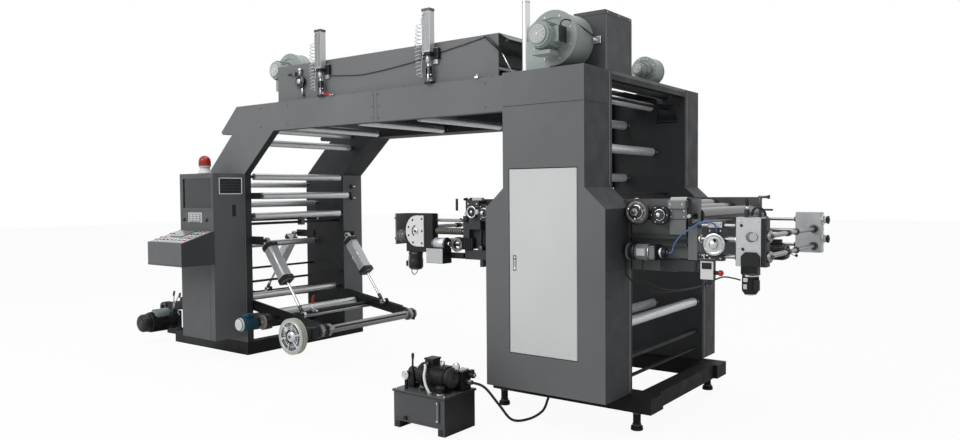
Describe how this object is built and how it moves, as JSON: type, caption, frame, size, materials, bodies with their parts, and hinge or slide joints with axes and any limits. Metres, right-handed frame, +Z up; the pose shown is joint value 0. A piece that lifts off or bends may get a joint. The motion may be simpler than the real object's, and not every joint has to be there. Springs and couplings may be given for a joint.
{
  "type": "stack printing press",
  "caption": "Web press with a print tower, an overhead bridge carrying a dryer, an unwind stand with swing arms and rolls, a control cabinet and a hydraulic unit.",
  "frame": {"origin": "on the floor, under the round foot at the tower's operator-side outer corner", "axes": "+X along the web from the unwind stand to the print tower, +Y across the web away from the operator, +Z up"},
  "size_m": [6.8096, 2.495, 3.074],
  "materials": {
    "frame_grey": "satin",
    "door_pale": "satin",
    "base_black": "satin",
    "chrome_roll": "polished",
    "bright_steel": "brushed",
    "alu": "machined",
    "motor_dark": "satin",
    "drive_teal": "satin",
    "beacon_red": "glossy",
    "blower_grey": "satin",
    "hose_black": "matt",
    "ring_cast": "machined"
  },
  "bodies": {
    "frame": {"tower_covers": "frame_grey", "tower_plates": "frame_grey", "tower_base": "base_black", "cross_ties": "frame_grey", "heater": "frame_grey", "blowers": "blower_grey", "mast": "bright_steel", "bridge_near": "frame_grey", "bridge_far": "frame_grey", "stand_base": "base_black", "cabinet": "frame_grey", "desk": "frame_grey", "beacon": "beacon_red", "drive_motor": "motor_dark", "power_tank": "base_black", "power_pump": "motor_dark", "dryer": "frame_grey", "lifters": "alu", "shafts": "base_black", "cheeks": "frame_grey", "unit_blocks": "alu", "unit_rods": "bright_steel", "unit_motors": "motor_dark", "unit_fittings": "alu", "hose": "hose_black"},
    "idler_1": {"idler_1": "chrome_roll"},
    "idler_2": {"idler_2": "chrome_roll"},
    "idler_3": {"idler_3": "chrome_roll"},
    "idler_4": {"idler_4": "chrome_roll"},
    "idler_5": {"idler_5": "chrome_roll"},
    "idler_6": {"idler_6": "chrome_roll"},
    "idler_7": {"idler_7": "chrome_roll"},
    "idler_8": {"idler_8": "chrome_roll"},
    "idler_9": {"idler_9": "chrome_roll"},
    "idler_10": {"idler_10": "chrome_roll"},
    "idler_11": {"idler_11": "chrome_roll"},
    "idler_12": {"idler_12": "chrome_roll"},
    "idler_13": {"idler_13": "chrome_roll"},
    "idler_14": {"idler_14": "chrome_roll"},
    "idler_15": {"idler_15": "chrome_roll"},
    "idler_16": {"idler_16": "chrome_roll"},
    "idler_17": {"idler_17": "chrome_roll"},
    "idler_18": {"idler_18": "chrome_roll"},
    "plate_roll": {"plate_roll": "bright_steel"},
    "plate_roll_b": {"plate_roll_b": "bright_steel"},
    "ink_roll": {"ink_roll": "bright_steel"},
    "ink_roll_b": {"ink_roll_b": "bright_steel"},
    "pan_roll": {"pan_roll": "bright_steel"},
    "door": {"door": "door_pale"},
    "arms": {"arms": "base_black", "stand_drive": "drive_teal"},
    "reel": {"reel": "bright_steel", "brake_wheel": "ring_cast"},
    "barrels": {"barrels": "alu"},
    "rods": {"rods": "bright_steel"},
    "arms_back": {"arms_back": "base_black"},
    "barrels_back": {"barrels_back": "alu"},
    "rods_back": {"rods_back": "bright_steel"},
    "arm_idler": {"arm_idler": "chrome_roll"}
  },
  "joints": [
    {"name": "idler_1_spin", "type": "hinge", "parent": "frame", "child": "idler_1", "pos_m": [-4.224, 0.658, 1.787], "axis": [0, 1, 0], "continuous": true},
    {"name": "idler_2_spin", "type": "hinge", "parent": "frame", "child": "idler_2", "pos_m": [-4.8, 0.658, 1.715], "axis": [0, 1, 0], "continuous": true},
    {"name": "idler_3_spin", "type": "hinge", "parent": "frame", "child": "idler_3", "pos_m": [-4.1, 0.658, 1.594], "axis": [0, 1, 0], "continuous": true},
    {"name": "idler_4_spin", "type": "hinge", "parent": "frame", "child": "idler_4", "pos_m": [-4.648, 0.658, 1.504], "axis": [0, 1, 0], "continuous": true},
    {"name": "idler_5_spin", "type": "hinge", "parent": "frame", "child": "idler_5", "pos_m": [-4.232, 0.658, 1.391], "axis": [0, 1, 0], "continuous": true},
    {"name": "idler_6_spin", "type": "hinge", "parent": "frame", "child": "idler_6", "pos_m": [-4.675, 0.658, 1.071], "axis": [0, 1, 0], "continuous": true},
    {"name": "idler_7_spin", "type": "hinge", "parent": "frame", "child": "idler_7", "pos_m": [-4.331, 0.658, 0.566], "axis": [0, 1, 0], "continuous": true},
    {"name": "idler_8_spin", "type": "hinge", "parent": "frame", "child": "idler_8", "pos_m": [-4.056, 0.658, 2.118], "axis": [0, 1, 0], "continuous": true},
    {"name": "idler_9_spin", "type": "hinge", "parent": "frame", "child": "idler_9", "pos_m": [-4.054, 0.658, 2.248], "axis": [0, 1, 0], "continuous": true},
    {"name": "idler_10_spin", "type": "hinge", "parent": "frame", "child": "idler_10", "pos_m": [-3.623, 0.658, 2.252], "axis": [0, 1, 0], "continuous": true},
    {"name": "idler_11_spin", "type": "hinge", "parent": "frame", "child": "idler_11", "pos_m": [-2.715, 0.658, 2.246], "axis": [0, 1, 0], "continuous": true},
    {"name": "idler_12_spin", "type": "hinge", "parent": "frame", "child": "idler_12", "pos_m": [-2.012, 0.658, 2.24], "axis": [0, 1, 0], "continuous": true},
    {"name": "idler_13_spin", "type": "hinge", "parent": "frame", "child": "idler_13", "pos_m": [-0.475, 0.658, 2.31], "axis": [0, 1, 0], "continuous": true},
    {"name": "idler_14_spin", "type": "hinge", "parent": "frame", "child": "idler_14", "pos_m": [-0.464, 0.658, 1.937], "axis": [0, 1, 0], "continuous": true},
    {"name": "idler_15_spin", "type": "hinge", "parent": "frame", "child": "idler_15", "pos_m": [-0.1, 0.658, 0.712], "axis": [0, 1, 0], "continuous": true},
    {"name": "idler_16_spin", "type": "hinge", "parent": "frame", "child": "idler_16", "pos_m": [-0.45, 0.658, 0.677], "axis": [0, 1, 0], "continuous": true},
    {"name": "idler_17_spin", "type": "hinge", "parent": "frame", "child": "idler_17", "pos_m": [-0.716, 0.658, 2.17], "axis": [0, 1, 0], "continuous": true},
    {"name": "idler_18_spin", "type": "hinge", "parent": "frame", "child": "idler_18", "pos_m": [-0.716, 0.658, 1.726], "axis": [0, 1, 0], "continuous": true},
    {"name": "plate_roll_spin", "type": "hinge", "parent": "frame", "child": "plate_roll", "pos_m": [0.05, 0.658, 1.475], "axis": [0, 1, 0], "continuous": true},
    {"name": "plate_roll_b_spin", "type": "hinge", "parent": "frame", "child": "plate_roll_b", "pos_m": [-1.07, 0.658, 1.475], "axis": [0, 1, 0], "continuous": true},
    {"name": "ink_roll_spin", "type": "hinge", "parent": "frame", "child": "ink_roll", "pos_m": [0.195, 0.658, 1.457], "axis": [0, 1, 0], "continuous": true},
    {"name": "ink_roll_b_spin", "type": "hinge", "parent": "frame", "child": "ink_roll_b", "pos_m": [-1.215, 0.658, 1.457], "axis": [0, 1, 0], "continuous": true},
    {"name": "pan_roll_spin", "type": "hinge", "parent": "frame", "child": "pan_roll", "pos_m": [0.4, 0.658, 1.45], "axis": [0, 1, 0], "continuous": true},
    {"name": "door_swing", "type": "hinge", "parent": "frame", "child": "door", "pos_m": [-0.253, -0.368, 1.135], "axis": [0, 0, 1], "range_deg": [0, 95]},
    {"name": "arm_swing", "type": "hinge", "parent": "frame", "child": "arms", "pos_m": [-4.29, 0.658, 0.5], "axis": [0, -1, 0], "range_deg": [0, 20]},
    {"name": "reel_spin", "type": "hinge", "parent": "arms", "child": "reel", "pos_m": [-3.19, 0.658, 0.34], "axis": [0, 1, 0], "continuous": true},
    {"name": "barrel_swing", "type": "hinge", "parent": "frame", "child": "barrels", "pos_m": [-4.07, 0.658, 1.15], "axis": [0, -1, 0], "range_deg": [0, 11.99]},
    {"name": "rod_slide", "type": "slide", "parent": "barrels", "child": "rods", "axis": [-0.6036, 0, 0.7973], "range_m": [0, 0.2095]},
    {"name": "arm_swing_back", "type": "hinge", "parent": "frame", "child": "arms_back", "pos_m": [-4.75, 0.658, 0.5], "axis": [0, 1, 0], "range_deg": [0, 20]},
    {"name": "barrel_swing_back", "type": "hinge", "parent": "frame", "child": "barrels_back", "pos_m": [-4.97, 0.658, 1.15], "axis": [0, 1, 0], "range_deg": [0, 11.99]},
    {"name": "rod_slide_back", "type": "slide", "parent": "barrels_back", "child": "rods_back", "axis": [0.6036, 0, 0.7973], "range_m": [0, 0.2095]},
    {"name": "arm_idler_spin", "type": "hinge", "parent": "arms", "child": "arm_idler", "pos_m": [-3.994, 0.658, 0.43], "axis": [0, 1, 0], "continuous": true}
  ],
  "couplings": [
    {"joint": "barrel_swing", "follows": "arm_swing", "ratio": 0.57444},
    {"joint": "rod_slide", "follows": "arm_swing", "m_per_rad": 0.59449},
    {"joint": "barrel_swing_back", "follows": "arm_swing_back", "ratio": 0.57444},
    {"joint": "rod_slide_back", "follows": "arm_swing_back", "m_per_rad": 0.59449}
  ]
}
